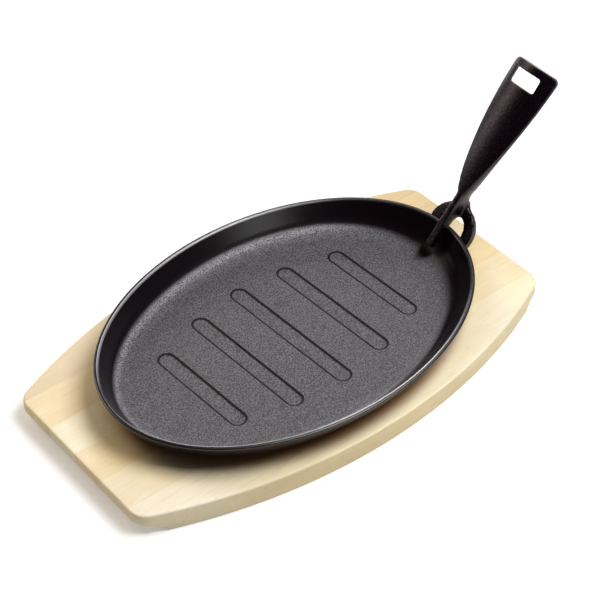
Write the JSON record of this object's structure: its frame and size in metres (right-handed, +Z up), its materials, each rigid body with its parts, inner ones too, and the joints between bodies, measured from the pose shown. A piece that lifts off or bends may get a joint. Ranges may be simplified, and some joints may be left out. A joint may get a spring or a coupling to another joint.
{
  "type": "sizzle platter",
  "caption": "Oval cast-iron sizzle plate with flared sides, lying on a bow-sided wooden board, with a clip-on cast-iron handle standing out from its rim.",
  "frame": {"origin": "centre of the wooden board's flat underside, on the surface that the board stands on", "axes": "+X along the board towards the end that the handle leans over, +Y across the board, +Z up"},
  "size_m": [0.3753, 0.196, 0.1433],
  "materials": {
    "board_wood": "smooth sanded pale softwood with a thin clear coat",
    "plate_iron": "black, fine sand-cast grain on the floor, smoother and glossier on the sides",
    "handle_iron": "black, fine sand-cast grain, semi-gloss"
  },
  "bodies": {
    "root": {"wooden_board": "board_wood", "iron_plate": "plate_iron", "gripper_handle": "handle_iron"}
  },
  "joints": []
}
